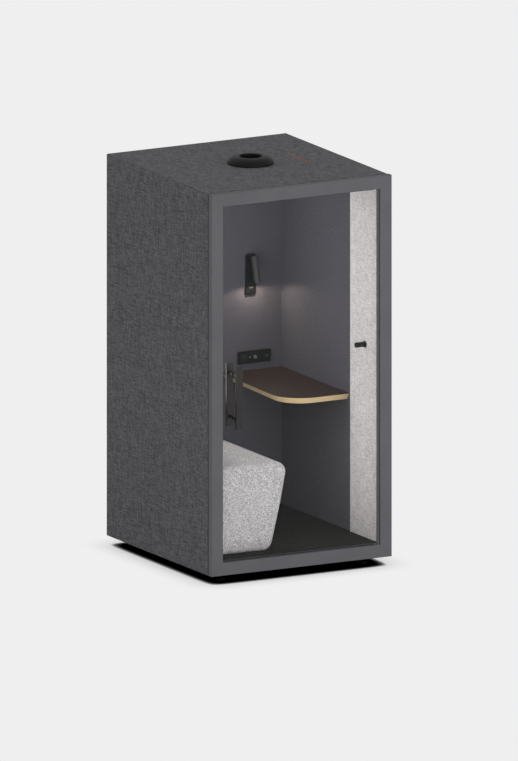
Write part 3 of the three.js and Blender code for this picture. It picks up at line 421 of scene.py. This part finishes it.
def glowing(name, colour, strength):
    """Frosted plastic with a light behind it."""
    sheet = Sheet(name)
    frost = sheet.noise(400.0, detail=3.0)
    gloss = sheet.ramp(frost, (0.3, 0.3), (0.7, 0.45))
    return sheet.surface(colour, gloss, Emission_Color=rgba(colour), Emission_Strength=strength)


def make_felts():
    return {
        "outer_felt": felt(
            "outer_felt", linear(58, 57, 60), linear(96, 95, 98), linear(124, 123, 127),
            relief=0.4, clouding=0.05,
        ),
        "inner_felt": felt(
            "inner_felt", linear(78, 76, 83), linear(84, 82, 89), linear(90, 88, 95),
            relief=0.05, clouding=0.03,
        ),
        "pale_felt": felt(
            "pale_felt", linear(178, 174, 173), linear(219, 215, 214), linear(240, 236, 235),
            relief=0.2, clouding=0.07,
        ),
    }


def make_materials():
    """One material for each of the record's slots."""
    birch = plywood(
        "birch_ply",
        pale_tones=(linear(230, 204, 154), linear(248, 226, 182)),
        cross_tones=(linear(146, 116, 74), linear(190, 160, 112)),
    )
    return {
        **make_felts(),
        "bench_fabric": bench_wool(),
        "core_board": acoustic_board(),
        "carpet": carpet_pile(),
        "frame_paint": powder_coat("frame_paint", linear(98, 97, 101), roughness=0.55),
        "black_paint": powder_coat("black_paint", linear(27), roughness=0.45),
        "lamp_black": powder_coat("lamp_black", linear(14), roughness=0.36),
        "handle_bronze": brushed("handle_bronze", linear(34, 30, 28), 0.45, BRUSHED_ALONG_Z, metallic=0.3),
        "black_plastic": moulded_plastic("black_plastic", linear(21), roughness=0.5),
        "socket_grey": moulded_plastic("socket_grey", linear(33), roughness=0.5),
        "gasket_rubber": soft_rubber(),
        "steel": brushed("steel", linear(200), 0.3, BRUSHED_ALONG_X),
        "plywood": birch,
        "laminate": dark_laminate(),
        "lamp_lens": glowing("lamp_lens", (1.0, 0.86, 0.68), strength=6.0),
        "indicator_green": glowing("indicator_green", (0.35, 0.75, 0.35), strength=0.6),
        "clear_glass": clear_glass(),
    }


def dress_nodes(materials):
    for entry in frame["record"]["subparts"]:
        node = nodes[entry["node"]]
        node.data.materials.clear()
        node.data.materials.append(materials[entry["material_slot"]])


def dress_details():
    """Small pieces whose finish differs a little from the rest of their slot; for the slot liner, the lamp
    head and the feet the difference is painted shade or a painted highlight.
    """
    # Painted shade: the slot liner's ply is a darker copy of the birch, standing in for the shade inside the
    # deep slot in the roof
    shaded_slot_ply = plywood(
        "shaded_slot_ply",
        pale_tones=(linear(176, 120, 74), linear(194, 134, 84)),
        cross_tones=(linear(128, 86, 54), linear(156, 106, 66)),
    )
    satin_metal = brushed("satin_metal", linear(118), 0.4, BRUSHED_ALONG_X, metallic=0.5)
    dull_metal = brushed("dull_metal", linear(74), 0.45, BRUSHED_ALONG_X, metallic=0.3)
    # Painted highlight: the lamp head's black is a lighter grey than the lamp's other black, standing in for
    # its lit side; its lower roughness is its own satin gloss
    lit_head_black = powder_coat("lit_head_black", linear(60), roughness=0.3)
    grey_plastic = moulded_plastic("grey_plastic", linear(72), roughness=0.5)
    # Painted shade: the feet are black plastic made darker still, so they sink into the shade under the pod
    shadowed_foot_plastic = moulded_plastic("shadowed_foot_plastic", linear(6), roughness=0.75)
    finishes = [
        (shaded_slot_ply, ["slot_liner"]),
        (satin_metal, ["dimmer_knob"]),
        (dull_metal, ["usb_port", "lamp_switch"]),
        (lit_head_black, ["lamp_head"]),
        (grey_plastic, ["fan_rotor", "fan_frame", "duct_sleeve"]),
        (shadowed_foot_plastic, ["foot_front_left", "foot_front_right", "foot_rear_left", "foot_rear_right"]),
    ]
    for finish, names in finishes:
        for name in names:
            nodes[name].data.materials[0] = finish


# Bench: foam under wool, swelled by cloth simulation from the solid's own shape

BENCH_VOXEL = 0.011
BENCH_MOVE_CAP = 0.008
BENCH_PRESSURE = 4.0
BENCH_TENSION = 30.0
BENCH_BENDING = 8.0
CLOTH_QUALITY = 4
BENCH_FRAMES = 16
BENCH_LEAST_RISE = 0.001
BENCH_MOST_RISE = 0.005
SMOOTH_FACTOR = 0.5
ROUNDS_BEFORE_CLOTH = 4
ROUNDS_AFTER_CLOTH = 3


def mesh_copy(node, name):
    piece = bpy.data.objects.new(name, nodes[node].data.copy())
    piece.matrix_world = nodes[node].matrix_world.copy()
    scene.collection.objects.link(piece)
    return piece


def apply_modifiers(piece):
    shape = piece.evaluated_get(bpy.context.evaluated_depsgraph_get())
    mesh = bpy.data.meshes.new_from_object(shape)
    piece.modifiers.clear()
    old = piece.data
    piece.data = mesh
    bpy.data.meshes.remove(old)


def swell(piece):
    """Pressure in a cloth skin rounds the form; no point moves further than the cap."""
    start = [vertex.co.copy() for vertex in piece.data.vertices]
    cloth = piece.modifiers.new("cloth", "CLOTH")
    cloth.settings.quality = CLOTH_QUALITY
    cloth.settings.use_pressure = True
    cloth.settings.uniform_pressure_force = BENCH_PRESSURE
    cloth.settings.effector_weights.gravity = 0.0
    cloth.settings.tension_stiffness = BENCH_TENSION
    cloth.settings.bending_stiffness = BENCH_BENDING
    cloth.point_cache.frame_start = 1
    cloth.point_cache.frame_end = BENCH_FRAMES
    for step in range(1, BENCH_FRAMES + 1):
        scene.frame_set(step)
    apply_modifiers(piece)
    scene.frame_set(1)
    for vertex, origin in zip(piece.data.vertices, start):
        move = vertex.co - origin
        if move.length > BENCH_MOVE_CAP:
            vertex.co = origin + move * (BENCH_MOVE_CAP / move.length)


def hold_to_form(piece, form):
    """Keep the swelled skin within a few millimetres of the solid's own surface."""
    corners = [vertex.co for vertex in form.vertices]
    tree = BVHTree.FromPolygons(corners, [polygon.vertices for polygon in form.polygons])
    for vertex in piece.data.vertices:
        place, normal, _, _ = tree.find_nearest(vertex.co)
        rise = (vertex.co - place).dot(normal)
        vertex.co = place + normal * min(max(rise, BENCH_LEAST_RISE), BENCH_MOST_RISE)


def rest_flat(piece, low, high):
    """The wool lies flat on the carpet and against the left and rear linings."""
    for vertex in piece.data.vertices:
        vertex.co.x = max(vertex.co.x, low[0])
        vertex.co.y = min(vertex.co.y, high[1])
        vertex.co.z = max(vertex.co.z, low[2])


def smoothed(piece, rounds):
    """Even out the skin, and apply whatever modifiers the piece has."""
    smooth = piece.modifiers.new("smooth", "SMOOTH")
    smooth.factor = SMOOTH_FACTOR
    smooth.iterations = rounds
    apply_modifiers(piece)


def make_bench(materials):
    low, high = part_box("bench_upholstery")
    piece = mesh_copy("bench_upholstery", "bench_cushion")
    remesh = piece.modifiers.new("remesh", "REMESH")
    remesh.mode = "VOXEL"
    remesh.voxel_size = BENCH_VOXEL
    smoothed(piece, ROUNDS_BEFORE_CLOTH)
    swell(piece)
    hold_to_form(piece, nodes["bench_upholstery"].data)
    smoothed(piece, ROUNDS_AFTER_CLOTH)
    rest_flat(piece, low, high)
    rounder = piece.modifiers.new("rounder", "SUBSURF")
    rounder.levels = 1
    rounder.render_levels = 1
    for polygon in piece.data.polygons:
        polygon.use_smooth = True
    piece.data.materials.clear()
    piece.data.materials.append(materials["bench_fabric"])
    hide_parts("bench_upholstery")
    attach(piece, "pod")


# Stage and light: metres, and watts for the lights

FLOOR_HALF = 40.0
FLOOR_SEEN = 0.863
FLOOR_REFLECTS = 0.9
HALO_REACH = 0.16
HALO_SAMPLES = 16
CORE_REACH = 1.5
CORE_SAMPLES = 32
WORLD_STRENGTH = 0.58
FRONT_SOFTBOX = dict(place=(0.4, -5.2, 1.9), target=(0.0, -0.6, 1.1), size=(3.0, 3.0), power=74.0)
CABIN_FILLS = {
    "ceiling_fill": dict(place=(0.0, 0.0, 2.07), target=(0.0, 0.0, 0.0), size=(0.8, 0.9), power=0.9),
    "side_fill": dict(place=(-0.47, -0.15, 1.5), target=(0.4, -0.15, 1.5), size=(0.7, 1.05), power=6.4),
    "door_fill": dict(place=(0.0, -0.53, 1.1), target=(0.0, 0.5, 1.1), size=(0.9, 1.9), power=0.4),
    "step_fill": dict(place=(0.02, -0.4, 0.55), target=(0.5, -0.3, 0.45), size=(0.3, 0.7), power=0.6),
}
LAMP_LEAN = math.radians(14.4)
LAMP_CONE = math.radians(176.0)
LAMP_CONE_BLEND = 0.3
LAMP_POWER = 2.4
LAMP_COLOUR = (1.0, 0.84, 0.66)
LAMP_RADIUS = 0.012
LAMP_OFFSET = 0.006


def floor_shade(sheet):
    """Shade under the pod: a black core where little light gets in, with a soft halo round its edge."""
    near = sheet.add("ShaderNodeAmbientOcclusion", samples=HALO_SAMPLES)
    near.inputs["Distance"].default_value = HALO_REACH
    halo = sheet.ramp(near.outputs["AO"], (0.5, 0.76), (1.0, 1.0))
    far = sheet.add("ShaderNodeAmbientOcclusion", samples=CORE_SAMPLES)
    far.inputs["Distance"].default_value = CORE_REACH
    core = sheet.ramp(far.outputs["AO"], (0.25, 0.0), (0.37, 0.18), (0.44, 0.5), (0.5, 1.0))
    return sheet.mix(1.0, halo, core, "MULTIPLY")


def floor_white():
    """Seen directly, the floor has one even level and its shade; for bounced light it is plain white."""
    sheet = Sheet("floor_white")
    seen = sheet.add("ShaderNodeEmission")
    sheet.join(sheet.mix(1.0, FLOOR_SEEN, floor_shade(sheet), "MULTIPLY"), seen.inputs["Color"])
    lit = sheet.add("ShaderNodeBsdfDiffuse")
    lit.inputs["Color"].default_value = rgba(FLOOR_REFLECTS)
    path = sheet.add("ShaderNodeLightPath")
    direct = sheet.maths("MAXIMUM", path.outputs["Is Camera Ray"], path.outputs["Is Glossy Ray"])
    direct = sheet.maths("MAXIMUM", direct, path.outputs["Is Transmission Ray"])
    choice = sheet.add("ShaderNodeMixShader")
    sheet.join(direct, choice.inputs["Fac"])
    sheet.join(lit.outputs["BSDF"], choice.inputs[1])
    sheet.join(seen.outputs["Emission"], choice.inputs[2])
    sheet.join(choice.outputs["Shader"], sheet.output.inputs["Surface"])
    return sheet.material


def make_floor():
    mesh = bpy.data.meshes.new("floor")
    signs = [(-1, -1), (1, -1), (1, 1), (-1, 1)]
    corners = [(x * FLOOR_HALF, y * FLOOR_HALF, 0.0) for x, y in signs]
    mesh.from_pydata(corners, [], [(0, 1, 2, 3)])
    mesh.materials.append(floor_white())
    floor = bpy.data.objects.new("floor", mesh)
    scene.collection.objects.link(floor)


def make_world():
    world = bpy.data.worlds.new("studio")
    world.use_nodes = True
    back = world.node_tree.nodes["Background"]
    back.inputs["Color"].default_value = (1.0, 1.0, 1.0, 1.0)
    back.inputs["Strength"].default_value = WORLD_STRENGTH
    scene.world = world


def area_light(name, place, target, size, power):
    data = bpy.data.lights.new(name, "AREA")
    data.shape = "RECTANGLE"
    data.size, data.size_y = size
    data.energy = power
    light = bpy.data.objects.new(name, data)
    light.location = place
    aim = Vector(target) - Vector(place)
    light.rotation_euler = aim.to_track_quat("-Z", "Y").to_euler()
    scene.collection.objects.link(light)
    return light


def make_studio_lights():
    """A softbox in front of the pod, and fills inside the cabin that the camera doesn't see."""
    area_light("front_softbox", **FRONT_SOFTBOX)
    for name, settings in CABIN_FILLS.items():
        fill = area_light(name, **settings)
        fill.visible_camera = False


def make_lamp_light():
    """The lamp's own light leaves the lens along the leaning head, and moves with the head."""
    low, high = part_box("lamp_lens")
    middle = (Vector(low) + Vector(high)) / 2
    down = Vector((0.0, -math.sin(LAMP_LEAN), -math.cos(LAMP_LEAN)))
    data = bpy.data.lights.new("lamp_light", "SPOT")
    data.energy = LAMP_POWER
    data.color = LAMP_COLOUR
    data.spot_size = LAMP_CONE
    data.spot_blend = LAMP_CONE_BLEND
    data.specular_factor = 0.0
    data.shadow_soft_size = LAMP_RADIUS
    light = bpy.data.objects.new("lamp_light", data)
    light.location = middle + down * LAMP_OFFSET
    light.rotation_euler = down.to_track_quat("-Z", "Y").to_euler()
    scene.collection.objects.link(light)
    bpy.context.view_layer.update()
    body = frame["bodies"]["lamp_head"]
    light.parent = body
    light.matrix_parent_inverse = body.matrix_world.inverted()


# The scene, in order

make_camera()
materials = make_materials()
dress_nodes(materials)
dress_details()
make_bench(materials)
make_floor()
make_world()
make_studio_lights()
make_lamp_light()
